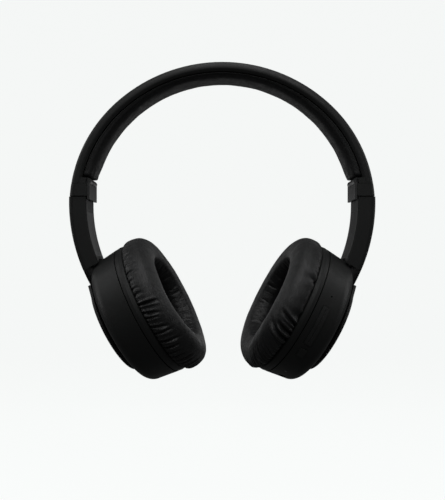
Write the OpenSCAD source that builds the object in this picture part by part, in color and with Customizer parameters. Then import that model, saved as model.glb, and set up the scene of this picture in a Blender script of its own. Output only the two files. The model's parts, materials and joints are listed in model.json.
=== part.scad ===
// Foldable wireless over ear headphones.
// Origin: underside of the padded headband at its crown. +Z up, X from ear to ear, -Y to the front.
// The right half (+X) is drawn, and the left half is its mirror image.

/* [Headband] */
// Height of the headband's top above the padded underside at the crown
band_top = 9.1; // [8.6:0.1:9.8]
// Radius of the outer surface over the crown
crown_r = 89.1; // [88.5:0.1:90]
// Radius of the outer surface beside the ears
side_r = 78.1; // [77.6:0.1:78.6]
// Half angle of the crown arc, in degrees
crown_half_angle = 44; // [42:1:46]
// Depth of the headband, front to back
band_depth = 30; // [29:0.5:32]
// Radius of the padded underside
cushion_r = 74; // [73.8:0.1:74.4]
// Width of the padded lining
cushion_w = 28.4; // [27:0.2:28.6]

/* [Fold hinge] */
// Distance of the hinge pin from the centre plane
fold_x = 75; // [74.8:0.1:75.2]
// Height of the hinge pin
fold_z = -57.8; // [-58:0.1:-57.6]
// Radius of the hinge pin
fold_pin_r = 1; // [0.9:0.05:1.1]
// Height of the seam between the headband and the hinge block
seam_z = -59.1; // [-59.2:0.1:-59]
// Height of the seam between the hinge block and the arm
arm_seam_z = -66.3; // [-66.5:0.1:-66]

/* [Arms] */
// Radius of the arm's outer surface
arm_r = 96; // [95:0.5:98]
// Thickness of the arm
arm_t = 10.6; // [10.2:0.1:10.8]
// Depth of the arm, front to back
arm_depth = 28.5; // [27.5:0.5:29]
// Height of the arc centre of the arm
arm_centre_z = -69.5; // [-70:0.1:-69]
// Width of the steel slider strip
strip_w = 18; // [16:0.5:18]
// Length of the steel slider strip below the hinge block
strip_reach = 32.5; // [30:0.5:33]

/* [Ear cups] */
// Distance of the cup's pivot from the centre plane
pivot_x = 57.2; // [57:0.1:57.5]
// Height of the cup's pivot
pivot_z = -137.9; // [-138.2:0.1:-137.6]
// Upward tilt of the cup at rest, in degrees
cup_tilt = 27; // [26:0.5:28]
// Forward angle of the cup at rest, in degrees
cup_yaw = 8; // [6:0.5:9]
// Outer radius of the cup at its front seam
cup_r = 38.4; // [38:0.1:38.6]
// Radius of the ear cushion's centre ring
pad_ring_r = 31; // [30.8:0.1:31.2]
// Radius of the ear cushion's section
pad_tube_r = 8.7; // [8.4:0.1:8.8]
// Radius of the disc at the end of the arm
disc_r = 26.9; // [26:0.1:28]
// Radius of the headphone socket's bore
jack_r = 1.75; // [1.75:0.05:1.8]

/* [Hidden] */
$fn = 96;

LEFT = -1;
RIGHT = 1;

BLACK = [0.06, 0.06, 0.065];
SATIN_BLACK = [0.09, 0.09, 0.095];
LEATHERETTE = [0.05, 0.05, 0.055];
GREY_GLOSS = [0.3, 0.3, 0.3];
STEEL = [0.62, 0.63, 0.65];
MAGNET = [0.35, 0.35, 0.38];
BOARD = [0.08, 0.25, 0.16];
CLOTH = [0.03, 0.03, 0.03];
FOIL = [0.7, 0.72, 0.74];

// Arc centres of the headband, worked out so that the arcs meet smoothly
crown_cz = band_top - crown_r;
side_cx = (crown_r - side_r) * sin(crown_half_angle);
side_cz = crown_cz + (crown_r - side_r) * cos(crown_half_angle);
side_top_angle = 90 - crown_half_angle;
arm_proud = 0.2;
arm_cx = side_cx + side_r - arm_r + arm_proud;
arc_overlap = 1;
side_inset = 0.02;
$inset = 0;

// Layers of the headband, measured inwards from its outer surface
section_r = 100;
band_edge_r = 3.8;
band_inner_r = 2;
shell_skin = 2.2;
shell_t = 6.2;
liner_out = 4.7;
liner_in = 6.1;
cushion_out = 6.5;
bracket_out = 6.3;
bracket_in = 7.9;
channel_w = 24.4;
channel_end = 18;
gap = 0.2;
far = 200;

// Hinge and slider
knuckle_r = 2;
knuckle_half = 5.9;
leaf_knuckle_w = 6;
leaf_w = 28.4;
leaf_t = 1.3;
leaf_bottom = -68;
leaf_top = -57.6;
cheek_x = 75.5;
cheek_y = 12.5;
cheek_t = 2.3;
cheek_w = 4.1;
block_inner_x = 74.9;
block_t = 14;
strip_x = 77.6;
strip_t = 1.2;
strip_top = -60.5;
cushion_end_z = -55.8;

// Ends of the arm's arc and of its cover, as angles from the arm's arc centre
arm_end = -32;
arm_edge_r = 3.2;
arm_inner_r = 0.6;
cover_from = -20.5;
cover_to = -3.3;
cover_t = 1.2;
cover_w = 26.6;

// Heights in a cup, measured from its pivot towards the ear
disc_in = -2.8;
disc_out = -4.2;
dome_out = -5.2;
dome_r = 240;
rim_z = -0.2;
dish_z = 3.4;
floor_z = 5;
seam_h = 17.3;
bezel_z = 22.3;
pad_z = 26.8;
corner_r = 6.4;
edge_t = 0.5;
dish_r = 29.9;
baffle_z = 19.8;
baffle_t = 1.8;
baffle_r = 35.6;
post_r = 2.8;
post_ring_r = 29.9;
POST_ANGLES = [45, 135, 225, 315];

// Pivot cross
trunnion_r = 1.15;
trunnion_bore = 1.2;
lug_r = 2;
lug_in = 5.5;
lug_t = 2;
mount_r = 14;

// Controls around the front of the right cup
control_z = 9.6;
control_w = 4;
control_out = 38.3;
control_in = 35;
rocker_from = 246;
rocker_to = 280;
button_from = 233;
button_to = 241;
stem_in = 33.7;
rocker_groove = 0.8;
switch_r = 33;
jack_y = 6.3;
jack_z = 11.2;
usb_y = -6.1;
usb_z = 9.8;
light_angle = 207;
mic_angle = 290;

module on_side(side) {
    mirror([side < 0 ? 1 : 0, 0, 0]) children();
}

// Local axes of a cup: +Z towards the ear, +X up along the cup, +Y to the back
module in_cup() {
    translate([pivot_x, 0, pivot_z]) rotate([0, cup_tilt - 90, cup_yaw]) children();
}

// Sweeps a section drawn at its radius through an arc in the XZ plane
module arc_sweep(centre_x, centre_z, from, to) {
    translate([centre_x, 0, centre_z]) rotate([90, 0, 0]) rotate([0, 0, from])
        rotate_extrude(angle = to - from) children();
}

// Sweeps a section along the whole headband, with x = 0 on its outer surface. The side arcs are a
// hair slimmer and run into the crown arc, so the three fuse into one body.
module arch(end_angle) {
    arc_sweep(0, crown_cz, side_top_angle, 180 - side_top_angle)
        translate([crown_r, 0]) children();
    arc_sweep(side_cx, side_cz, end_angle, side_top_angle + arc_overlap)
        translate([side_r, 0]) {
            $inset = side_inset;
            children();
        }
    arc_sweep(-side_cx, side_cz, 180 - side_top_angle - arc_overlap, 180 - end_angle)
        translate([side_r, 0]) {
            $inset = side_inset;
            children();
        }
}

module strip_section(out, in, w) {
    translate([-in + $inset, -w / 2 + $inset]) square([in - out - 2 * $inset, w - 2 * $inset]);
}

// Section of a bar with its own corner radius outside and inside
module bar_section(t, depth, r_out, r_in) {
    y_out = depth / 2 - r_out;
    y_in = depth / 2 - r_in;
    translate([-t + r_in, -depth / 2 + $inset]) square([t - r_in - r_out, depth - 2 * $inset]);
    translate([-t + r_in, -y_out]) square([t - r_in - $inset, 2 * y_out]);
    translate([-t + $inset, -y_in]) square([t - r_out - $inset, 2 * y_in]);
    for (side = [-1, 1]) {
        translate([-r_out, side * y_out]) circle(r = r_out - $inset);
        translate([-t + r_in, side * y_in]) circle(r = r_in - $inset);
    }
}

// Crowned outer face that the headband and the arms share, cut off at the inner face
module crowned(t) {
    intersection() {
        translate([-section_r, 0]) circle(r = section_r - $inset, $fn = 180);
        translate([-t + $inset, -band_depth]) square([t, 2 * band_depth]);
        children();
    }
}

module band_section(t) {
    crowned(t) bar_section(t, band_depth, band_edge_r, band_inner_r);
}

module slab(z_low, z_high) {
    translate([-far, -far, z_low]) cube([2 * far, 2 * far, z_high - z_low]);
}

module rod_y(r, y_low, y_high) {
    translate([0, y_high, 0]) rotate([90, 0, 0]) cylinder(r = r, h = y_high - y_low);
}

module rod_x(r, x_low, x_high) {
    translate([x_low, 0, 0]) rotate([0, 90, 0]) cylinder(r = r, h = x_high - x_low);
}

module disc(r, z_low, z_high) {
    translate([0, 0, z_low]) cylinder(r = r, h = z_high - z_low);
}

module sector(from, to, r_in, r_out, z_low, h) {
    rotate([0, 0, from]) rotate_extrude(angle = to - from)
        translate([r_in, z_low]) square([r_out - r_in, h]);
}

module at_angle(angle, r, z) {
    rotate([0, 0, angle]) translate([r, 0, z]) children();
}

// ---- Headband ----

// Walls that close the hinge knuckles in at the front and the back
module knuckle_cheeks() {
    for (side = [LEFT, RIGHT], y = [-cheek_y - cheek_t, cheek_y])
        on_side(side) translate([cheek_x, y, seam_z - 1])
            cube([cheek_w, cheek_t, cushion_end_z - gap - seam_z + 1]);
}

module band_shell() {
    color(SATIN_BLACK) difference() {
        union() {
            arch(6) band_section(shell_t);
            knuckle_cheeks();
        }
        arch(channel_end) strip_section(shell_skin, shell_t + 1, channel_w);
        slab(-far, seam_z);
        for (side = [LEFT, RIGHT])
            on_side(side) fold_axis() rod_y(knuckle_r + 0.4, -cheek_y, cheek_y);
        bracket_holes(1);
    }
}

module band_spring() {
    color(STEEL) arch(channel_end + 1) strip_section(2.6, 3.4, 16);
}

module band_liner() {
    color(BLACK) arch(channel_end + 5) strip_section(liner_out, liner_in, channel_w - 2 * gap);
}

module band_cushion() {
    color(LEATHERETTE) difference() {
        arch(8) strip_section(cushion_out, 11.6, cushion_w);
        translate([0, 0, -cushion_r]) rod_y(cushion_r, -far, far, $fn = 180);
        slab(-far, cushion_end_z);
        for (side = [LEFT, RIGHT])
            on_side(side) arc_sweep(side_cx, side_cz, 8, channel_end + 5)
                translate([side_r, 0]) strip_section(0, bracket_in + 1.3, 19);
    }
}

// Flat lead that joins the two cups, in its place beside the steel spring
module band_lead() {
    color(BLACK) arch(channel_end + 1)
        translate([0, 10]) strip_section(2.6, 3.8, 2.4);
}

module bracket_holes(r) {
    for (side = [LEFT, RIGHT], y = [-6, 6])
        on_side(side) translate([side_cx, y, side_cz]) rotate([0, -16, 0])
            rod_x(r, side_r - bracket_in - 1.4, side_r - shell_skin);
}

module band_screws() {
    color(STEEL) {
        for (side = [LEFT, RIGHT], y = [-6, 6])
            on_side(side) translate([side_cx, y, side_cz]) rotate([0, -16, 0]) {
                rod_x(0.95, side_r - bracket_in - 0.4, side_r - shell_skin - 0.5);
                rod_x(1.8, side_r - bracket_in - 1, side_r - bracket_in - 0.05);
            }
    }
}

// ---- Fold hinge ----

module fold_axis() {
    translate([fold_x, 0, fold_z]) children();
}

module hinge_bracket(side) {
    color(STEEL) on_side(side) difference() {
        union() {
            fold_axis() rod_y(knuckle_r, -knuckle_half, knuckle_half);
            arc_sweep(side_cx, side_cz, 11.2, 14.8) translate([side_r, 0])
                strip_section(bracket_out + 0.1, bracket_in - 0.1, 2 * knuckle_half - 1);
            arc_sweep(side_cx, side_cz, 14.2, 22) translate([side_r, 0])
                strip_section(bracket_out, bracket_in, 18);
        }
        fold_axis() rod_y(fold_pin_r, -far, far);
        bracket_holes(1);
    }
}

module hinge_pin(side) {
    color(STEEL) on_side(side) fold_axis() rod_y(fold_pin_r, -12, 12);
}

module leaf_knuckles() {
    for (y = [-knuckle_half - gap - leaf_knuckle_w, knuckle_half + gap])
        fold_axis() rod_y(knuckle_r, y, y + leaf_knuckle_w);
}

module hinge_leaf(side) {
    color(GREY_GLOSS) on_side(side) difference() {
        union() {
            leaf_knuckles();
            translate([block_inner_x - 0.1 - leaf_t, -leaf_w / 2, leaf_bottom])
                cube([leaf_t, leaf_w, leaf_top - leaf_bottom]);
        }
        fold_axis() rod_y(fold_pin_r + 0.05, -far, far);
        fold_axis() rod_y(knuckle_r + 0.35, -knuckle_half - gap, knuckle_half + gap);
    }
}

module hinge_block(side) {
    color(SATIN_BLACK) on_side(side) difference() {
        intersection() {
            arc_sweep(side_cx, side_cz, 1, 14) translate([side_r, 0]) band_section(block_t);
            slab(arm_seam_z + gap, seam_z - gap);
            translate([block_inner_x, -far, -far]) cube([far, 2 * far, 2 * far]);
        }
        fold_axis() rod_y(knuckle_r + 0.4, -cheek_y, cheek_y);
        translate([strip_x - 0.05, -strip_w / 2 - 0.05, -far])
            cube([strip_t + 0.1, strip_w + 0.1, far + strip_top + 0.05]);
    }
}

module slider_strip(side) {
    color(STEEL) on_side(side) difference() {
        translate([strip_x, -strip_w / 2, arm_seam_z - strip_reach])
            cube([strip_t, strip_w, strip_top - arm_seam_z + strip_reach]);
        for (i = [0:8])
            translate([0, 0, arm_seam_z - 6 - 2.75 * i]) rod_x(0.8, strip_x - 1, strip_x + 3);
    }
}

// ---- Arm ----

module arm_sweep(from, to) {
    arc_sweep(arm_cx, arm_centre_z, from, to) translate([arm_r, 0]) children();
}

module arm_disc() {
    disc(disc_r - 1.1, disc_out, disc_in);
    translate([0, 0, (disc_in + disc_out) / 2]) rotate_extrude()
        translate([disc_r - 1.1, 0]) circle(r = 1.1);
    intersection() {
        translate([0, 0, dome_out + dome_r]) sphere(r = dome_r, $fn = 180);
        disc(disc_r - 2, dome_out - 1, disc_in);
    }
    // shoulders that lead the arm's straight sides into the disc
    translate([0, 0, disc_out]) linear_extrude(disc_in - disc_out)
        polygon([[11, -24.4], [26.5, -arm_depth / 2 + 0.4], [26.5, arm_depth / 2 - 0.4], [11, 24.4]]);
}

module arm_shell(side) {
    color(SATIN_BLACK) on_side(side) difference() {
        union() {
            arm_sweep(arm_end, 3)
                crowned(arm_t) bar_section(arm_t, arm_depth, arm_edge_r, arm_inner_r);
            in_cup() arm_disc();
        }
        slab(arm_seam_z - gap, 0);
        // room for the hinge leaf
        translate([block_inner_x - 5, -leaf_w / 2 - 0.5, leaf_bottom - 0.4]) cube([5.5, leaf_w + 1, 10]);
        // channel of the slider strip
        translate([strip_x - 0.5, -strip_w / 2 - 0.4, arm_seam_z - strip_reach - 1])
            cube([strip_t + 1, strip_w + 0.8, far]);
        // seat of the inner cover
        arm_sweep(cover_from - 0.1, cover_to + 0.1)
            strip_section(arm_t - cover_t - 0.1, arm_t + 1, cover_w + 0.2);
        // room for the cup and for the lugs of its pivot
        in_cup() disc(cup_r + 0.4, disc_in, far);
        in_cup() disc(12, disc_in - 1.2, disc_in + 1);
    }
    color(SATIN_BLACK) on_side(side) in_cup() arm_lugs();
}

module arm_lugs() {
    for (y = [-lug_in - lug_t, lug_in])
        difference() {
            union() {
                rod_y(lug_r, y, y + lug_t);
                translate([-lug_r, y, disc_in - 1.3]) cube([2 * lug_r, lug_t, 1.3 - disc_in]);
            }
            rod_y(trunnion_bore, y - 1, y + lug_t + 1);
        }
}

module arm_cover(side) {
    color(side == LEFT ? GREY_GLOSS : SATIN_BLACK) on_side(side)
        arm_sweep(cover_from, cover_to) strip_section(arm_t - cover_t, arm_t, cover_w);
}

// ---- Cup pivot ----

module pivot_cross(side) {
    color(STEEL) on_side(side) in_cup() {
        rod_x(trunnion_r, -7.4, 7.4);
        rod_y(trunnion_r, -7.4, 7.4);
        translate([-3.2, -3.2, -2]) cube([6.4, 6.4, 4]);
    }
}

module pivot_screw_places() {
    for (angle = [45, 165, 285]) at_angle(angle, 12, 0) children();
}

module pivot_mount(side) {
    color(BLACK) on_side(side) in_cup() difference() {
        union() {
            disc(mount_r, floor_z + 0.1, floor_z + 1.5);
            for (x = [-lug_in - lug_t, lug_in]) {
                rod_x(lug_r, x, x + lug_t);
                translate([x, -lug_r, 0]) cube([lug_t, 2 * lug_r, floor_z + 1]);
            }
        }
        rod_x(trunnion_bore, -mount_r, mount_r);
        pivot_screw_places() disc(1, 0, 10);
    }
}

module pivot_screws(side) {
    color(STEEL) on_side(side) in_cup() pivot_screw_places() {
        disc(0.9, dish_z + 0.2, floor_z + 1.6);
        disc(1.7, floor_z + 1.55, floor_z + 2.3);
    }
}

// ---- Cup ----

module housing_body() {
    difference() {
        rotate_extrude() {
            polygon([[0, rim_z], [cup_r - 1.2 - corner_r, rim_z], [cup_r - 1.2 - corner_r, corner_r + rim_z],
                     [cup_r - 1.2, corner_r + rim_z], [cup_r, seam_h], [0, seam_h]]);
            translate([cup_r - 1.2 - corner_r, corner_r + rim_z]) circle(r = corner_r);
        }
        rotate_extrude() polygon([[0, floor_z], [31, floor_z], [cup_r - 3.2, 8.6], [cup_r - 2, seam_h + 1],
                                  [0, seam_h + 1]]);
        disc(dish_r, rim_z - corner_r, dish_z);
        disc(10.5, dish_z - 1, floor_z + 1);
        pivot_screw_places() disc(1, 0, 10);
    }
    for (angle = POST_ANGLES)
        at_angle(angle, post_ring_r, 0) difference() {
            disc(post_r, floor_z - 0.5, baffle_z - gap);
            disc(1.15, floor_z + 2, baffle_z);
        }
}

module cup_housing(side) {
    color(SATIN_BLACK) on_side(side) in_cup() difference() {
        housing_body();
        if (side == RIGHT) control_openings();
    }
}

module control_openings() {
    for (ends = [[rocker_from, rocker_to], [button_from, button_to]])
        sector(ends[0] - 0.45, ends[1] + 0.45, 34, 42, control_z - gap, control_w + 2 * gap);
    translate([0, jack_y, jack_z]) rod_x(3, -42, -33);
    translate([-42, usb_y - 4.2, usb_z - 1.9]) cube([9, 8.4, 3.8]);
    at_angle(light_angle, 0, jack_z) rod_x(0.9, 33, 42);
    at_angle(mic_angle, 0, jack_z) rod_x(0.5, 33, 42);
}

module bezel_ring(side) {
    color(SATIN_BLACK) on_side(side) in_cup() rotate_extrude()
        polygon([[33, seam_h - 1.7], [36, seam_h - 1.7], [36, seam_h + gap], [cup_r - edge_t, seam_h + gap],
                 [cup_r, seam_h + gap + edge_t], [cup_r + 0.2, (seam_h + bezel_z) / 2],
                 [cup_r, bezel_z - 2 * edge_t], [cup_r - 0.4, bezel_z - edge_t], [cup_r - 1.2, bezel_z],
                 [baffle_r + gap, bezel_z], [baffle_r + gap, baffle_z - 0.1], [33, baffle_z - 0.1]]);
}

module baffle(side) {
    color(BLACK) on_side(side) in_cup() difference() {
        disc(baffle_r, baffle_z, baffle_z + baffle_t);
        disc(18.6, 0, far);
        for (angle = POST_ANGLES) at_angle(angle, post_ring_r, 0) disc(1.3, 0, far);
        for (angle = [0:60:300]) at_angle(angle, 24, 0) disc(1.5, 0, far);
    }
}

module cup_screws(side) {
    color(STEEL) on_side(side) in_cup() for (angle = POST_ANGLES)
        at_angle(angle, post_ring_r, 0) {
            disc(1.05, 11, baffle_z + baffle_t + 0.1);
            disc(2.3, baffle_z + baffle_t + 0.05, bezel_z - 0.1);
        }
}

module driver_frame(side) {
    color(BLACK) on_side(side) in_cup() rotate_extrude()
        polygon([[12.2, 10.6], [17.4, 10.6], [18.3, 18], [20.2, 18], [20.2, 19.7], [17, 19.7],
                 [16.2, 12.2], [12.2, 12.2]]);
}

module driver_magnet(side) {
    color(MAGNET) on_side(side) in_cup() difference() {
        disc(12, 7.6, 14);
        disc(2, 0, far);
        rotate_extrude() translate([6.6, 9]) square([1, 6]);
    }
}

module diaphragm(side) {
    color(FOIL) on_side(side) in_cup() rotate_extrude()
        polygon([[0, 18.9], [6, 17.8], [11, 16.9], [15.6, 18.6], [16.5, 18.6], [16.5, 18.95], [15.5, 18.95],
                 [11, 17.3], [6, 18.2], [0, 19.3]]);
}

module speaker_cloth(side) {
    color(CLOTH) on_side(side) in_cup() disc(20.8, 21.65, 22.1);
}

module pad_plate(side) {
    color(BLACK) on_side(side) in_cup() difference() {
        disc(36, 22.5, 23.9);
        disc(25, 0, far);
    }
}

module ear_pad(side) {
    color(LEATHERETTE) on_side(side) in_cup() rotate_extrude() difference() {
        translate([pad_ring_r, pad_z]) circle(r = pad_tube_r);
        square([2 * cup_r, bezel_z + 0.1]);
        translate([24.8, 0]) square([11.4, 24.1]);
    }
}

// ---- Electronics ----

module battery() {
    color(FOIL) on_side(LEFT) in_cup() translate([-27, -13, 5.4]) cube([12.4, 26, 4.8]);
}

module circuit_board() {
    color(BOARD) in_cup() difference() {
        union() {
            disc(26.5, 6.9, 8.1);
            translate([-31, -12, 6.9]) cube([14, 24, 1.2]);
        }
        disc(15, 0, far);
        translate([4, -far, 0]) cube([far, 2 * far, far]);
        for (angle = POST_ANGLES) at_angle(angle, post_ring_r, 0) disc(post_r + 0.4, 0, far);
    }
}

module switch_strip() {
    color(BLACK) in_cup() {
        sector(button_from - 2, rocker_to + 2, 31.2, 31.9, 8.8, 5.4);
        for (angle = [(button_from + button_to) / 2, rocker_from + 5, rocker_to - 5])
            at_angle(angle, 0, control_z + control_w / 2) rod_x(1.6, 31.6, switch_r);
    }
}

module usb_socket() {
    color(STEEL) in_cup() difference() {
        translate([-35.6, usb_y - 3.9, usb_z - 1.5]) cube([6.6, 7.8, 3]);
        translate([-36.6, usb_y - 3.5, usb_z - 1.1]) cube([6, 7, 2.2]);
    }
}

module audio_jack() {
    color(BLACK) in_cup() difference() {
        union() {
            translate([-33.2, jack_y - 3.2, jack_z - 3]) cube([12.4, 6.4, 6]);
            translate([0, jack_y, jack_z]) rod_x(2.85, -37.3, -33);
        }
        translate([0, jack_y, jack_z]) rod_x(jack_r, -40, -23.3);
    }
}

module status_light() {
    color([0.8, 0.85, 0.9]) in_cup() at_angle(light_angle, 0, jack_z) rod_x(0.8, 33.4, 37.6);
}

module microphone() {
    color(STEEL) in_cup() at_angle(mic_angle, 0, jack_z) rod_x(2, 33, 34.6);
}

module power_button() {
    middle = (button_from + button_to) / 2;
    color(BLACK) in_cup() {
        sector(button_from, button_to, control_in, control_out, control_z, control_w);
        at_angle(middle, 0, control_z + control_w / 2) rod_x(1, stem_in, control_in + 1);
    }
}

module volume_rocker() {
    middle = (rocker_from + rocker_to) / 2;
    color(BLACK) in_cup() {
        difference() {
            sector(rocker_from, rocker_to, control_in, control_out, control_z, control_w);
            sector(rocker_from + 2, rocker_to - 2, control_out - 0.35, control_out + 1,
                   control_z + (control_w - rocker_groove) / 2, rocker_groove);
        }
        at_angle(middle, 34.8, 0) disc(0.8, control_z + 0.2, control_z + control_w - 0.2);
        for (angle = [rocker_from + 5, rocker_to - 5])
            at_angle(angle, 0, control_z + control_w / 2) rod_x(1, stem_in, control_in + 1);
    }
}

band_shell();
band_spring();
band_liner();
band_cushion();
band_lead();
band_screws();
hinge_bracket(LEFT);  // hinge_bracket_left
hinge_bracket(RIGHT);  // hinge_bracket_right
hinge_pin(LEFT);  // hinge_pin_left
hinge_pin(RIGHT);  // hinge_pin_right
hinge_leaf(LEFT);  // hinge_leaf_left
hinge_leaf(RIGHT);  // hinge_leaf_right
hinge_block(LEFT);  // hinge_block_left
hinge_block(RIGHT);  // hinge_block_right
slider_strip(LEFT);  // slider_strip_left
slider_strip(RIGHT);  // slider_strip_right
arm_shell(LEFT);  // arm_shell_left
arm_shell(RIGHT);  // arm_shell_right
arm_cover(LEFT);  // arm_cover_left
arm_cover(RIGHT);  // arm_cover_right
pivot_cross(LEFT);  // pivot_cross_left
pivot_cross(RIGHT);  // pivot_cross_right
pivot_mount(LEFT);  // pivot_mount_left
pivot_mount(RIGHT);  // pivot_mount_right
pivot_screws(LEFT);  // pivot_screws_left
pivot_screws(RIGHT);  // pivot_screws_right
cup_housing(LEFT);  // cup_housing_left
cup_housing(RIGHT);  // cup_housing_right
bezel_ring(LEFT);  // bezel_ring_left
bezel_ring(RIGHT);  // bezel_ring_right
baffle(LEFT);  // baffle_left
baffle(RIGHT);  // baffle_right
cup_screws(LEFT);  // cup_screws_left
cup_screws(RIGHT);  // cup_screws_right
driver_frame(LEFT);  // driver_frame_left
driver_frame(RIGHT);  // driver_frame_right
driver_magnet(LEFT);  // driver_magnet_left
driver_magnet(RIGHT);  // driver_magnet_right
diaphragm(LEFT);  // diaphragm_left
diaphragm(RIGHT);  // diaphragm_right
speaker_cloth(LEFT);  // speaker_cloth_left
speaker_cloth(RIGHT);  // speaker_cloth_right
pad_plate(LEFT);  // pad_plate_left
pad_plate(RIGHT);  // pad_plate_right
ear_pad(LEFT);  // ear_pad_left
ear_pad(RIGHT);  // ear_pad_right
battery();
circuit_board();
switch_strip();
usb_socket();
audio_jack();
status_light();
microphone();
power_button();
volume_rocker();
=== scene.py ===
"""Looks of the foldable over ear headphones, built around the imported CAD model. Metres, row frame."""

import json
import math
import random

import bmesh
import bpy
from mathutils import Matrix, Vector, noise
from mathutils.bvhtree import BVHTree


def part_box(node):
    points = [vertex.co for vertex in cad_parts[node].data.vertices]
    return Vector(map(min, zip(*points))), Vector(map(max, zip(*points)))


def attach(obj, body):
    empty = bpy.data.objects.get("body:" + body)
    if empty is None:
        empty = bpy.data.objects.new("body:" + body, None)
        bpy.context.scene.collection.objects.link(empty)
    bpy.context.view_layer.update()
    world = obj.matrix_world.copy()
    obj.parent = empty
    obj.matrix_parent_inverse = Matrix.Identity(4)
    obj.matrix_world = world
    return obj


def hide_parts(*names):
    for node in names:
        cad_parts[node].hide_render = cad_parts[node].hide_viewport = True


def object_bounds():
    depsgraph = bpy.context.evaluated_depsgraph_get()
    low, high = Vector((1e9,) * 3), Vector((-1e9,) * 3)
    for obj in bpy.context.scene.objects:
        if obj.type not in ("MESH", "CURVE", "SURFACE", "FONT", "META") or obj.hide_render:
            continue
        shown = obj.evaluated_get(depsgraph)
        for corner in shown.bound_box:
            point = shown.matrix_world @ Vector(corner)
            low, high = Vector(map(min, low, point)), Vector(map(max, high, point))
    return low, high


MM = 0.001
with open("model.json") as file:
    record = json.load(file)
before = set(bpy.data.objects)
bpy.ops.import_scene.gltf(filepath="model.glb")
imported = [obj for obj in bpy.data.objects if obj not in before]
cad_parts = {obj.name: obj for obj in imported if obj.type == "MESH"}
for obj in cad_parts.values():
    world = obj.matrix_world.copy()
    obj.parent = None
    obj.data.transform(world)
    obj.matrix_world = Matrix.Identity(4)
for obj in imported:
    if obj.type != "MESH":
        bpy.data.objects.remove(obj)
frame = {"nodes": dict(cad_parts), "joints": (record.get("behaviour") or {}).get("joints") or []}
nodes = frame["nodes"]
cad_low, cad_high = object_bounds()
SIDES = {"left": -1, "right": 1}


# ---------------------------------------------------------------- cup frames
def joint(name):
    return next(j for j in frame["joints"] if j["name"] == name)


class Cup:
    """Axes of a cup at rest: up along the cup, back away from the camera, ear towards the wearer's ear."""

    def __init__(self, side):
        swivel, tilt = joint("swivel_" + side), joint("tilt_" + side)
        self.side = side
        self.sign = SIDES[side]
        self.pivot = Vector(swivel["pos_m"])
        self.up = Vector(swivel["axis"])
        self.back = Vector(tilt["axis"]) * (1 if tilt["axis"][1] > 0 else -1)
        self.ear = self.up.cross(self.back) * self.sign

    def at(self, up, back, ear):
        return self.pivot + self.up * up + self.back * back + self.ear * ear

    def polar(self, angle, r, ear):
        return self.at(r * math.cos(angle), r * math.sin(angle), ear)

    def local(self, p):
        d = p - self.pivot
        return Vector((d.dot(self.up), d.dot(self.back), d.dot(self.ear)))

    def spans(self, node):
        """Smallest and largest radius, and lowest and highest height, of a CAD node in this cup."""
        pts = [self.local(v.co) for v in nodes[node].data.vertices]
        radii = [math.hypot(p.x, p.y) for p in pts]
        return min(radii), max(radii), min(p.z for p in pts), max(p.z for p in pts)


cups = {side: Cup(side) for side in SIDES}


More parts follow.
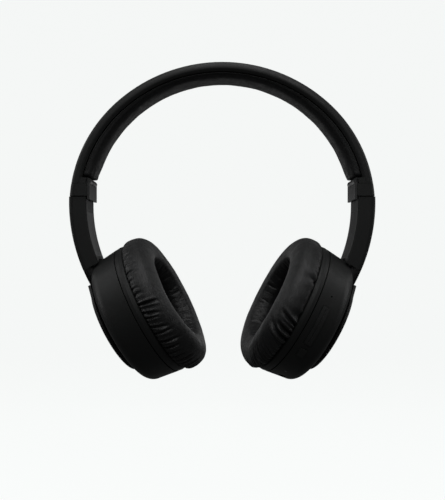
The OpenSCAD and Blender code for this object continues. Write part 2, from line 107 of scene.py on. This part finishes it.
# ---------------------------------------------------------------- materials
class Tree:
    """A node material with the shader's own sockets for constants and links for textures."""

    def __init__(self, name):
        self.mat = bpy.data.materials.new(name)
        self.mat.use_nodes = True
        self.nt = self.mat.node_tree
        self.nt.nodes.clear()
        self.out = self.nt.nodes.new("ShaderNodeOutputMaterial")
        self.bsdf = self.nt.nodes.new("ShaderNodeBsdfPrincipled")
        self.nt.links.new(self.bsdf.outputs[0], self.out.inputs[0])
        self.coord = self.nt.nodes.new("ShaderNodeTexCoord").outputs["Object"]

    def add(self, kind, **props):
        node = self.nt.nodes.new("ShaderNode" + kind)
        for key, value in props.items():
            setattr(node, key, value)
        return node

    def link(self, a, b):
        self.nt.links.new(a, b)

    def feed(self, socket, value):
        if hasattr(value, "links"):
            self.link(value, socket)
        else:
            socket.default_value = value

    def noise(self, scale, detail=3.0, rough=0.55, distort=0.0, coord=None):
        n = self.add("TexNoise")
        self.link(coord or self.coord, n.inputs["Vector"])
        n.inputs["Scale"].default_value = scale
        n.inputs["Detail"].default_value = detail
        n.inputs["Roughness"].default_value = rough
        n.inputs["Distortion"].default_value = distort
        return n.outputs["Fac"]

    def voronoi(self, scale):
        n = self.add("TexVoronoi", feature="DISTANCE_TO_EDGE")
        self.link(self.coord, n.inputs["Vector"])
        n.inputs["Scale"].default_value = scale
        return n.outputs["Distance"]

    def remap(self, value, low, high, to_low, to_high):
        n = self.add("MapRange", interpolation_type="SMOOTHSTEP")
        self.link(value, n.inputs["Value"])
        for key, v in zip(("From Min", "From Max", "To Min", "To Max"), (low, high, to_low, to_high)):
            n.inputs[key].default_value = v
        return n.outputs["Result"]

    def math(self, op, a, b=0.0):
        n = self.add("Math", operation=op)
        self.feed(n.inputs[0], a)
        self.feed(n.inputs[1], b)
        return n.outputs[0]

    def mix(self, fac, a, b):
        n = self.add("Mix", data_type="RGBA")
        self.feed(n.inputs["Factor"], fac)
        for socket, value in ((n.inputs[6], a), (n.inputs[7], b)):
            self.feed(socket, value if hasattr(value, "links") else (*value, 1.0))
        return n.outputs[2]

    def bump(self, height, strength, depth, normal=None):
        n = self.add("Bump")
        self.link(height, n.inputs["Height"])
        n.inputs["Strength"].default_value = strength
        n.inputs["Distance"].default_value = depth
        if normal is not None:
            self.link(normal, n.inputs["Normal"])
        return n.outputs["Normal"]

    def edge_mask(self, radius):
        """About 1 on rounded and worn edges, 0 on open faces."""
        bevel = self.add("Bevel", samples=4)
        bevel.inputs["Radius"].default_value = radius
        geometry = self.add("NewGeometry")
        dot = self.add("VectorMath", operation="DOT_PRODUCT")
        self.link(bevel.outputs["Normal"], dot.inputs[0])
        self.link(geometry.outputs["Normal"], dot.inputs[1])
        return self.remap(dot.outputs["Value"], 0.995, 0.86, 0.0, 1.0)

    def set(self, color, rough, normal, metallic=None, spec=None, sheen=None, sheen_rough=None):
        b = self.bsdf.inputs
        self.feed(b["Base Color"], color)
        self.feed(b["Roughness"], rough)
        self.link(normal, b["Normal"])
        for key, value in (("Metallic", metallic), ("Specular IOR Level", spec), ("Sheen Weight", sheen),
                           ("Sheen Roughness", sheen_rough)):
            if value is not None:
                b[key].default_value = value
        return self.mat


def moulded(name, dark, light, rough, spec=0.5, grain=2600, wear=0.35):
    """Moulded plastic: fine spark-eroded grain, faint handling marks, edges polished by use."""
    t = Tree(name)
    smudge = t.noise(38, 4, 0.6, 0.6)
    scuff = t.noise(420, 5, 0.7)
    edge = t.math("MULTIPLY", t.edge_mask(0.0006), t.remap(scuff, 0.35, 0.65, 0.2, 1.0))
    color = t.mix(t.remap(smudge, 0.3, 0.7, 0.0, 1.0), dark, light)
    color = t.mix(t.math("MULTIPLY", edge, wear), color, tuple(min(1.0, c * 2.6 + 0.012) for c in light))
    r = t.remap(smudge, 0.3, 0.75, rough + 0.05, rough - 0.06)
    r = t.math("SUBTRACT", r, t.math("MULTIPLY", edge, 0.12))
    r = t.math("ADD", r, t.remap(scuff, 0.4, 0.7, -0.02, 0.04))
    normal = t.bump(t.noise(grain, 2, 0.5), 0.35, 0.00002)
    normal = t.bump(t.noise(55, 2, 0.4), 0.15, 0.0003, normal)
    return t.set(color, r, normal, spec=spec)


def leatherette(name, dark, light, rough, spec=0.45, cell=1150):
    """Coated leatherette: small pebbled cells with painted shade in the grooves between them, soft creases,
    shinier where it is stretched.
    """
    t = Tree(name)
    warp = t.noise(260, 3, 0.6)
    cells = t.voronoi(cell)
    fine = t.voronoi(cell * 2.3)
    creases = t.noise(150, 5, 0.62, 1.4)
    tone = t.noise(30, 4, 0.6)
    pebbles = t.remap(cells, 0.0, 0.16, 0.0, 1.0)
    color = t.mix(t.remap(tone, 0.3, 0.7, 0.0, 1.0), dark, light)
    # Painted shade: the grooves between the pebbles, the low ground of the bump below, are darkened in
    # colour.
    groove_shade = t.math("MULTIPLY", t.remap(cells, 0.0, 0.08, 1.0, 0.0), 0.6)
    color = t.mix(groove_shade, color, tuple(c * 0.45 for c in dark))
    r = t.remap(warp, 0.3, 0.7, rough - 0.05, rough + 0.06)
    r = t.math("SUBTRACT", r, t.math("MULTIPLY", pebbles, 0.05))
    height = t.math("ADD", pebbles, t.math("MULTIPLY", t.remap(fine, 0.0, 0.2, 0.0, 1.0), 0.35))
    height = t.math("ADD", height, t.math("MULTIPLY", creases, 0.8))
    normal = t.bump(height, 0.45, 0.00011)
    normal = t.bump(t.noise(90, 3, 0.5, 0.8), 0.25, 0.0007, normal)
    return t.set(color, r, normal, spec=spec, sheen=0.04, sheen_rough=0.45)


def metal(name, color, rough, brushed_axis=1):
    """Rolled or turned steel: brushed streaks, tarnish and fine scratches."""
    t = Tree(name)
    mapping = t.add("Mapping")
    t.link(t.coord, mapping.inputs["Vector"])
    stretch = [900.0, 900.0, 900.0]
    stretch[brushed_axis] = 22.0
    mapping.inputs["Scale"].default_value = stretch
    streaks = t.noise(1.0, 4, 0.6, coord=mapping.outputs["Vector"])
    tarnish = t.noise(70, 4, 0.6)
    base = t.mix(t.remap(tarnish, 0.35, 0.7, 0.0, 0.6), color, tuple(c * 0.6 for c in color))
    brushed = t.remap(streaks, 0.3, 0.7, rough - 0.07, rough + 0.08)
    r = t.math("ADD", brushed, t.remap(tarnish, 0.4, 0.7, 0.0, 0.07))
    normal = t.bump(streaks, 0.2, 0.00003)
    return t.set(base, r, normal, metallic=1.0)


def woven(name, dark, light, pitch=0.0009):
    """Open knitted cloth: crossed threads with dark holes between."""
    t = Tree(name)
    turned = t.add("Mapping")
    t.link(t.coord, turned.inputs["Vector"])
    turned.inputs["Rotation"].default_value = (0.3, math.radians(63), 0.78)
    waves = []
    for direction in ("X", "Y"):
        w = t.add("TexWave", wave_type="BANDS", bands_direction=direction)
        t.link(turned.outputs["Vector"], w.inputs["Vector"])
        w.inputs["Scale"].default_value = 1 / (pitch * 2 * math.pi)
        w.inputs["Distortion"].default_value = 0.6
        w.inputs["Detail Scale"].default_value = 2.0
        waves.append(w.outputs["Fac"])
    thread = t.math("MAXIMUM", *waves)
    fibre = t.noise(5200, 3, 0.7)
    height = t.math("ADD", thread, t.math("MULTIPLY", fibre, 0.3))
    color = t.mix(t.remap(thread, 0.25, 0.8, 0.0, 1.0), dark, light)
    color = t.mix(t.remap(t.noise(60), 0.4, 0.7, 0.0, 0.35), color, tuple(c * 0.6 for c in light))
    r = t.remap(fibre, 0.3, 0.7, 0.82, 0.96)
    return t.set(color, r, t.bump(height, 0.7, 0.0003), spec=0.25, sheen=0.2, sheen_rough=0.5)


def coated(name, dark, light, rough, spec=0.5, grain=180, depth=0.00005):
    """Lacquer, film or solder mask: smooth, with a soft ripple and thin dust."""
    t = Tree(name)
    ripple = t.noise(grain, 2, 0.5)
    dust = t.noise(900, 6, 0.75)
    color = t.mix(t.remap(ripple, 0.3, 0.7, 0.0, 1.0), dark, light)
    color = t.mix(t.remap(dust, 0.62, 0.75, 0.0, 0.25), color, tuple(min(1.0, c * 1.6 + 0.02) for c in light))
    film = t.remap(ripple, 0.3, 0.7, rough - 0.03, rough + 0.05)
    r = t.math("ADD", film, t.remap(dust, 0.5, 0.75, 0.0, 0.15))
    return t.set(color, r, t.bump(ripple, 0.25, depth), spec=spec)


SHELL = moulded("shell_satin_black", (0.005, 0.0053, 0.0052), (0.0066, 0.007, 0.0068), 0.5, spec=0.2)
INNER = moulded("inner_matte_black", (0.006, 0.006, 0.0062), (0.009, 0.009, 0.0093), 0.68, spec=0.3,
                wear=0.15)
BUTTON = moulded("button_satin_black", (0.0052, 0.0055, 0.0054), (0.007, 0.0074, 0.0072), 0.47, spec=0.24)
# Painted light: a lighter, glossier copy of the black shell, used on the left arm's cover only, where light
# from the right falls; the right cover keeps the shell's black.
LIT_COVER = moulded("cover_painted_light", (0.010, 0.0104, 0.0104), (0.013, 0.0134, 0.0134), 0.36, spec=0.2,
                     grain=900, wear=0.2)
LEAF = moulded("leaf_gloss_grey", (0.018, 0.0185, 0.0185), (0.023, 0.0235, 0.0235), 0.32, spec=0.2,
               grain=1100, wear=0.4)
PAD = leatherette("pad_leatherette", (0.0042, 0.0044, 0.0045), (0.0058, 0.006, 0.0062), 0.44, spec=0.22)
LINING = leatherette("lining_leatherette", (0.005, 0.0052, 0.0053), (0.0068, 0.007, 0.0072), 0.55, spec=0.2,
                     cell=900)
CLOTH = woven("speaker_mesh", (0.0015, 0.0015, 0.0016), (0.012, 0.012, 0.0125))
STEEL = metal("brushed_steel", (0.5, 0.51, 0.53), 0.3, brushed_axis=2)
DARK_STEEL = coated("blackened_steel", (0.006, 0.006, 0.0065), (0.01, 0.01, 0.0105), 0.4, spec=0.3)
PIN_STEEL = metal("turned_steel", (0.42, 0.43, 0.45), 0.26, brushed_axis=0)
MAGNET = metal("plated_magnet", (0.36, 0.35, 0.34), 0.35)
BOARD = coated("solder_mask_green", (0.006, 0.05, 0.022), (0.009, 0.07, 0.03), 0.3)
FOIL = coated("wrapped_foil", (0.28, 0.29, 0.3), (0.4, 0.41, 0.43), 0.35, grain=90, depth=0.0004)
FILM = coated("driver_film", (0.3, 0.27, 0.2), (0.42, 0.38, 0.3), 0.22, grain=300)
RUBBER = moulded("lead_rubber", (0.008, 0.008, 0.008), (0.012, 0.012, 0.012), 0.75, spec=0.25, wear=0.1)
LIGHT_PIPE = coated("light_pipe", (0.05, 0.055, 0.06), (0.07, 0.075, 0.08), 0.12)

BY_PREFIX = {
    "band_shell": SHELL, "band_spring": STEEL, "band_liner": INNER, "band_lead": RUBBER,
    "band_screws": PIN_STEEL, "band_cushion": LINING, "hinge_bracket": DARK_STEEL, "hinge_pin": DARK_STEEL,
    "hinge_leaf": LEAF, "hinge_block": SHELL, "slider_strip": STEEL, "arm_shell": SHELL,
    # The left arm's cover gets the painted-light grey copy of the shell, and the right one gets the shell
    # itself.
    "arm_cover_left": LIT_COVER, "arm_cover_right": SHELL, "pivot_cross": PIN_STEEL, "pivot_mount": INNER,
    "pivot_screws": PIN_STEEL, "cup_housing": SHELL, "bezel_ring": SHELL, "baffle": INNER,
    "cup_screws": PIN_STEEL, "driver_frame": INNER, "driver_magnet": MAGNET, "diaphragm": FILM,
    "speaker_cloth": CLOTH, "pad_plate": INNER, "ear_pad": PAD, "battery": FOIL, "circuit_board": BOARD,
    "switch_strip": INNER, "usb_socket": STEEL, "audio_jack": INNER, "status_light": LIGHT_PIPE,
    "microphone": STEEL, "power_button": BUTTON, "volume_rocker": BUTTON,
}


def dress(obj, material):
    obj.data.materials.clear()
    obj.data.materials.append(material)


for name, obj in nodes.items():
    dress(obj, next(m for prefix, m in BY_PREFIX.items() if name.startswith(prefix)))


# ---------------------------------------------------------------- mesh helpers
SPLINE_STEPS = 24


def new_object(name, verts, faces, material):
    mesh = bpy.data.meshes.new(name)
    mesh.from_pydata([tuple(v) for v in verts], [], faces)
    mesh.update()
    obj = bpy.data.objects.new(name, mesh)
    bpy.context.scene.collection.objects.link(obj)
    mesh.materials.append(material)
    bm = bmesh.new()
    bm.from_mesh(mesh)
    bmesh.ops.recalc_face_normals(bm, faces=bm.faces)
    bm.to_mesh(mesh)
    bm.free()
    for poly in mesh.polygons:
        poly.use_smooth = True
    return obj


def closed_spline(points, count):
    """Closed Catmull-Rom curve through the points, resampled to an even spacing."""
    n, dense = len(points), []
    for i in range(n):
        p = [points[(i + k) % n] for k in (-1, 0, 1, 2)]
        for step in range(SPLINE_STEPS):
            t = step / SPLINE_STEPS
            dense.append(tuple(
                0.5 * (2 * b + (c - a) * t + (2 * a - 5 * b + 4 * c - d) * t * t
                       + (3 * b - a - 3 * c + d) * t ** 3)
                for a, b, c, d in zip(*p)))
    dense.append(points[0])
    length = [0.0]
    for a, b in zip(dense, dense[1:]):
        length.append(length[-1] + math.dist(a, b))
    out, k = [], 0
    for i in range(count):
        goal = length[-1] * i / count
        while k < len(dense) - 2 and length[k + 1] < goal:
            k += 1
        f = (goal - length[k]) / max(length[k + 1] - length[k], 1e-12)
        out.append(tuple(a + (b - a) * f for a, b in zip(dense[k], dense[k + 1])))
    return out


def ring_faces(rings, count, closed_path=False):
    """Quads between rings of count points each, which lie one after the other."""
    faces = []
    for i in range(rings if closed_path else rings - 1):
        for j in range(count):
            a, b = i * count + j, i * count + (j + 1) % count
            c, d = ((i + 1) % rings) * count + (j + 1) % count, ((i + 1) % rings) * count + j
            faces.append((a, b, c, d))
    return faces


def smoothstep(x, low=0.0, high=1.0):
    t = min(1.0, max(0.0, (x - low) / (high - low)))
    return t * t * (3 - 2 * t)


# ---------------------------------------------------------------- padded covers
SWELL_SCALE = 10
SWELL_FRAMES = 16


def swell(obj, pinned, gathered, pressure, surplus, reach):
    """Blows a cover up as cloth, ten times its size, where the solver is steady. The gathered points carry
    surplus cloth, which buckles into small creases. No point moves further than reach."""
    scene, mesh = bpy.context.scene, obj.data
    rest = [v.co.copy() for v in mesh.vertices]
    mesh.transform(Matrix.Scale(SWELL_SCALE, 4))
    obj.vertex_groups.new(name="seam").add(pinned, 1.0, "REPLACE")
    surplus_group = obj.vertex_groups.new(name="surplus")
    for index, weight in gathered:
        surplus_group.add([index], weight, "REPLACE")
    cloth = obj.modifiers.new("swell", "CLOTH")
    cloth.point_cache.frame_start, cloth.point_cache.frame_end = 1, SWELL_FRAMES
    s = cloth.settings
    s.quality = 5
    s.mass = 0.1
    s.tension_stiffness = s.compression_stiffness = 12
    s.bending_stiffness = 0.4
    s.vertex_group_mass = "seam"
    s.vertex_group_shrink = "surplus"
    s.shrink_min, s.shrink_max = 0.0, -surplus
    s.use_pressure = True
    s.uniform_pressure_force = pressure
    s.effector_weights.gravity = 0
    for step in range(1, SWELL_FRAMES + 1):
        scene.frame_set(step)
    result = obj.evaluated_get(bpy.context.evaluated_depsgraph_get())
    swollen = [v.co / SWELL_SCALE for v in result.data.vertices]
    obj.modifiers.remove(cloth)
    obj.vertex_groups.clear()
    scene.frame_set(1)
    for v, start, end in zip(mesh.vertices, rest, swollen):
        move = end - start
        v.co = start + move * min(1.0, reach / max(move.length, 1e-9))
    mesh.update()


def refine(obj):
    """One subdivision, applied."""
    obj.modifiers.new("refine", "SUBSURF").levels = 1
    mesh = bpy.data.meshes.new_from_object(obj.evaluated_get(bpy.context.evaluated_depsgraph_get()))
    obj.modifiers.clear()
    obj.data = mesh
    for poly in mesh.polygons:
        poly.use_smooth = True


def bump_at(angle, centre, half_width):
    """1 at the centre, 0 beyond half_width, all in degrees round a circle."""
    away = abs((angle - centre + 180) % 360 - 180)
    return 1 - smoothstep(away, 0, half_width)


# ---------------------------------------------------------------- ear cushions
PAD_AROUND = 400
PAD_SECTION = 60
FOLDS_END = 18 * MM
GATHERS_END = 14 * MM
INNER_WALL = 15 * MM
ROLLS_FROM = 9 * MM
FOLD_RADIUS = 38.5  # of the wall where the folds are spaced out, in millimetres


def pad_outline(r_in, r_out, low, high):
    """Closed section of a cushion: full outer wall, broad crest, tight lip at the ear hole."""
    w, h = r_out - r_in, high - low
    shape = [(0.79, 0.0), (0.93, 0.04), (0.995, 0.24), (0.985, 0.5), (0.91, 0.74), (0.76, 0.91),
             (0.56, 0.985), (0.36, 1.0), (0.2, 0.99), (0.13, 0.97), (0.1, 0.91), (0.085, 0.8), (0.03, 0.55),
             (0.0, 0.33), (0.06, 0.09), (0.16, 0.0), (0.45, 0.0)]
    return [(r_in + w * a, low + h * b) for a, b in shape]


class Fold:
    """One gather of the leatherette: a valley that starts at the seam and runs up the cushion's wall."""

    def __init__(self, angle, depth, length, width, lean):
        self.angle, self.depth, self.length, self.width, self.lean = angle, depth, length, width, lean

    def at(self, angle, up_wall, radius):
        if up_wall > self.length:
            return 0.0
        across = (angle - self.angle + math.pi) % (2 * math.pi) - math.pi
        across = across * radius - self.lean * up_wall
        share = up_wall / self.length
        width = self.width * (0.7 + 0.9 * share)
        x = abs(across) / width
        if x > 3.5:
            return 0.0
        fade = (1 - smoothstep(share, 0.35, 1.0)) * (0.75 + 0.25 * smoothstep(share, 0.0, 0.3))
        return self.depth * fade * (0.42 * math.exp(-((x - 1.9) ** 2) * 1.2) - math.exp(-x * x * 1.5))


def gather(rng, first, last, spacing, depth, length, width, lean=0.0):
    """Gathers from one angle to another in degrees, with sizes in millimetres."""
    folds, angle = [], first
    step = math.degrees(spacing / FOLD_RADIUS)
    while angle < last:
        folds.append(Fold(math.radians(angle), depth * rng.uniform(0.7, 1.25) * MM,
                          length * rng.uniform(0.8, 1.2) * MM, width * rng.uniform(0.8, 1.25) * MM,
                          lean + rng.uniform(-0.14, 0.14)))
        angle += step * rng.uniform(0.78, 1.25)
    return folds


def folds_of(side):
    rng = random.Random(7 if side == "left" else 19)
    if side == "left":
        return (gather(rng, 160, 278, 4.4, 2.4, 12.5, 0.5, -0.3)
                + gather(rng, 282, 345, 4.6, 0.8, 9.0, 0.6, -0.2)
                + gather(rng, 348, 517, 5.4, 0.8, 10.5, 0.9))
    return (gather(rng, 176, 236, 2.5, 1.5, 15.0, 0.42, 0.55)
            + gather(rng, 240, 258, 4.4, 2.3, 15.5, 0.85, 0.4)
            + gather(rng, 263, 298, 17.0, 0.8, 9.0, 1.5, 0.15)
            + gather(rng, 302, 342, 3.0, 0.7, 6.0, 0.45, 0.1)
            + gather(rng, 346, 534, 4.8, 0.8, 10.0, 0.9))


def crest_lift(side, degrees):
    """How much higher or lower than its CAD solid the soft crest stands, in metres."""
    if side == "left":
        return (0.5 + 1.5 * bump_at(degrees, 205, 75)) * MM
    return (0.5 - 2.6 * bump_at(degrees, 190, 55)) * MM


def make_pad(side):
    cup = cups[side]
    r_in, r_out, low, high = cup.spans("ear_pad_" + side)
    low = max(low, cup.spans("bezel_ring_" + side)[3] + 0.05 * MM)
    outline = closed_spline(pad_outline(r_in, r_out, low, high), PAD_SECTION)
    centre = Vector(((r_in + r_out) / 2, (low + high) / 2))
    walls, normals, run = [], [], 0.0
    for j, point in enumerate(outline):
        before, after = outline[j - 1], outline[(j + 1) % PAD_SECTION]
        walls.append(run)
        run += math.dist(point, after)
        along = Vector((after[0] - before[0], after[1] - before[1])).normalized()
        out = Vector((along.y, -along.x))
        normals.append(out if out.dot(Vector(point) - centre) > 0 else -out)
    base_run = walls[int(PAD_SECTION * 0.84)]
    folds = folds_of(side)
    seed = Vector((3.1, 0.7, 1.9)) * (1 if side == "left" else 2)
    verts, pinned, gathered = [], [], []
    for i in range(PAD_AROUND):
        angle = 2 * math.pi * i / PAD_AROUND
        degrees = math.degrees(angle)
        around = Vector((math.cos(angle), math.sin(angle), 0))
        rolls = bump_at(degrees, 205, 34) if side == "right" else 0.0
        for j, (r, h) in enumerate(outline):
            share = (h - low) / (high - low)
            push = sum(f.at(angle, walls[j], r) for f in folds) if walls[j] < FOLDS_END else 0.0
            inner_wall = base_run - walls[j]
            if 0 < inner_wall < INNER_WALL:
                ripple = noise.noise(around * 5.5 + Vector((0, 0, inner_wall * 90)) + seed)
                push += 0.2 * MM * ripple * smoothstep(INNER_WALL - inner_wall, 0, 10 * MM)
            body = noise.noise(around * 2.2 + Vector((0, 0, h * 55)) + seed)
            creep = noise.noise(around * 9 + Vector((0, 0, h * 210)) - seed)
            push += smoothstep(share, 0.02, 0.35) * (0.3 * MM * body + 0.12 * MM * creep)
            if rolls and walls[j] > ROLLS_FROM and inner_wall > 12 * MM:
                push += 0.22 * MM * rolls * math.sin(walls[j] * 2400 + 2.5 * body)
            lift = crest_lift(side, degrees) * smoothstep(share, 0.05, 0.8)
            verts.append(cup.polar(angle, r + normals[j].x * push, h + normals[j].y * push + lift))
            index = len(verts) - 1
            if share < 0.03:
                pinned.append(index)
            elif walls[j] < GATHERS_END:
                gathered.append((index, 1 - smoothstep(walls[j], 3 * MM, GATHERS_END)))
    pad = new_object("cushion_" + side, verts, ring_faces(PAD_AROUND, PAD_SECTION, closed_path=True), PAD)
    swell(pad, pinned, gathered, pressure=3.0, surplus=0.1, reach=0.8 * MM)
    refine(pad)
    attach(pad, "cup_" + side)
    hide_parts("ear_pad_" + side)
    return pad


# ---------------------------------------------------------------- lining of the headband
HEAD_R = 74 * MM
LINING_STATIONS = 240
LINING_CORNER = 4.2 * MM
LINING_TAIL = math.radians(14)  # over this angle the lining's ends turn square
SIDE_OF_SLOT = 0.42  # share of the width where the CAD solid has no slot for the hinge bracket


def lining_section(width, thick):
    """Closed section: rounded towards the head, flat against the shell. Depth 0 is the side at the head."""
    corner = min(LINING_CORNER, 0.72 * thick)
    half = width / 2
    power = 2 / 2.7
    points = [(half * math.sin(a) ** power, corner * (1 - math.cos(a) ** power))
              for a in [math.radians(d) for d in range(0, 91, 9)]]
    points += [(half, (corner + thick) / 2), (half, thick - 0.7 * MM), (half - 0.25 * MM, thick - 0.25 * MM),
               (half - 0.9 * MM, thick), (half * 0.6, thick), (half * 0.3, thick)]
    mirrored = [(-y, d) for y, d in reversed(points[1:])]
    return points + [(0.0, thick)] + mirrored


def make_lining():
    solid = nodes["band_cushion"].data
    tree = BVHTree.FromPolygons([v.co for v in solid.vertices], [p.vertices[:] for p in solid.polygons])
    low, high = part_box("band_cushion")
    width = high.y - low.y
    last = math.acos((low.z + 0.25 * MM + HEAD_R) / HEAD_R)
    centre = Vector((0, 0, -HEAD_R))
    verts, pinned, count = [], [], 0
    for i in range(LINING_STATIONS):
        turn = last * (2 * i / (LINING_STATIONS - 1) - 1)
        side = 1 if turn > 0 else -1
        square = (math.pi / 2 - last) * smoothstep(abs(turn), last - LINING_TAIL, last)
        aim = turn + side * square
        out = Vector((math.sin(aim), 0, math.cos(aim)))
        foot = centre + Vector((math.sin(turn), 0, math.cos(turn))) * HEAD_R
        hit = tree.ray_cast(foot + out * 0.5 * MM + Vector((0, SIDE_OF_SLOT * width, 0)), out)[0]
        thick = (hit - foot).dot(out)
        from_end = (last - abs(turn)) * HEAD_R
        pinch = 1 - 0.06 * (1 - smoothstep(from_end, 0, 1.4 * MM))
        section = lining_section(width, thick)
        count = len(section)
        for y, depth in section:
            y *= pinch
            depth = thick / 2 + (depth - thick / 2) * pinch
            crease = noise.noise(Vector((turn * 62, y * 260, 4.0)))
            crease *= smoothstep(abs(y), 0.2 * width, 0.5 * width)
            soft = noise.noise(Vector((turn * 9, y * 90, 1.0)))
            face = 1 - smoothstep(depth, 0.5 * thick, thick)
            depth -= face * (0.16 * MM * soft + 0.09 * MM * crease)
            verts.append(foot + out * depth + Vector((0, y, 0)))
            if depth > 0.8 * thick:
                pinned.append(len(verts) - 1)
    faces = ring_faces(LINING_STATIONS, count)
    faces += [tuple(range(count)), tuple(range(len(verts) - count, len(verts)))]
    lining = new_object("band_lining", verts, faces, LINING)
    swell(lining, pinned, [], pressure=2.0, surplus=0.0, reach=0.35 * MM)
    refine(lining)
    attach(lining, "headband")
    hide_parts("band_cushion")


for side in SIDES:
    make_pad(side)
make_lining()


# ---------------------------------------------------------------- camera, light and stage
CAMERA_BACK = 0.5
CAMERA_HEIGHT = -0.1045
FOCAL_SHARE = 1.754  # focal length over the sensor's width
SHIFT_RIGHT = 0.0006
SHIFT_UP = 0.03
SENSOR = 36.0


def add_camera():
    data = bpy.data.cameras.new("camera")
    data.sensor_width = SENSOR
    data.lens = FOCAL_SHARE * SENSOR
    data.shift_x, data.shift_y = SHIFT_RIGHT, SHIFT_UP
    data.clip_start, data.clip_end = 0.01, 20
    cam = bpy.data.objects.new("camera", data)
    bpy.context.scene.collection.objects.link(cam)
    cam.location = (0, -CAMERA_BACK, CAMERA_HEIGHT)
    cam.rotation_euler = (math.radians(90), 0, 0)
    bpy.context.scene.camera = cam


def add_softbox(name, place, target, size, power):
    data = bpy.data.lights.new(name, "AREA")
    data.shape = "RECTANGLE"
    data.size, data.size_y = size
    data.energy = power
    lamp = bpy.data.objects.new(name, data)
    bpy.context.scene.collection.objects.link(lamp)
    lamp.location = place
    lamp.rotation_euler = (Vector(target) - Vector(place)).to_track_quat("-Z", "Y").to_euler()


def add_stage():
    """Pale floor that curves up into a pale wall all round, far outside the lamps."""
    floor_z, far, sweep, height, around = -0.30, 2.2, 0.7, 3.6, 96
    path = [(0.2, floor_z), (far - sweep, floor_z)]
    path += [(far - sweep + sweep * math.sin(a), floor_z + sweep * (1 - math.cos(a)))
             for a in [math.radians(d) for d in range(6, 91, 6)]]
    path.append((far, floor_z + height))
    turns = [2 * math.pi * i / around for i in range(around)]
    verts = [(r * math.cos(a), r * math.sin(a), z) for r, z in path for a in turns]
    faces = [tuple(range(around))] + ring_faces(len(path), around)
    t = Tree("pale_floor")
    tone = t.mix(t.remap(t.noise(1.5), 0.3, 0.7, 0.0, 1.0), (0.055, 0.057, 0.056), (0.06, 0.062, 0.061))
    t.set(tone, 0.9, t.bump(t.noise(300), 0.1, 0.0002), spec=0.1)
    t.bsdf.inputs["Emission Color"].default_value = (0.982, 1.0, 0.991, 1.0)
    t.bsdf.inputs["Emission Strength"].default_value = 0.915
    stage = new_object("floor", verts, faces, t.mat)
    stage.visible_glossy = False
    stage.visible_diffuse = False


def add_world():
    world = bpy.data.worlds.new("studio")
    world.use_nodes = True
    world.node_tree.nodes["Background"].inputs[0].default_value = (0.95, 0.97, 0.97, 1)
    world.node_tree.nodes["Background"].inputs[1].default_value = 0.1
    bpy.context.scene.world = world


add_camera()
add_stage()
add_world()
middle = (cad_low + cad_high) / 2
crown = Vector((0, 0, cad_high.z))
cups_middle = Vector((0, 0, cups["left"].pivot.z))
add_softbox("top_softbox", (0.0, -0.25, 0.9), middle, (0.8, 0.45), 5.5)
add_softbox("high_front", (0.0, -0.85, 0.7), middle, (0.9, 0.3), 6.0)
add_softbox("front_softbox", (0.0, -1.3, 0.3), middle, (0.8, 0.4), 0.8)
add_softbox("left_softbox", (-1.0, 0.05, 0.25), middle, (0.3, 0.9), 4.0)
add_softbox("right_softbox", (1.0, 0.05, 0.25), middle, (0.3, 0.9), 3.2)
add_softbox("left_rim", (-0.55, 0.55, 0.35), cups_middle, (0.3, 0.6), 0.45)
add_softbox("right_rim", (0.55, 0.55, 0.35), cups_middle, (0.3, 0.6), 0.45)
add_softbox("low_back", (0.0, 0.8, -0.1), crown, (0.6, 0.15), 0.12)
bpy.context.scene.view_settings.view_transform = "Standard"
bpy.context.scene.view_settings.look = "None"
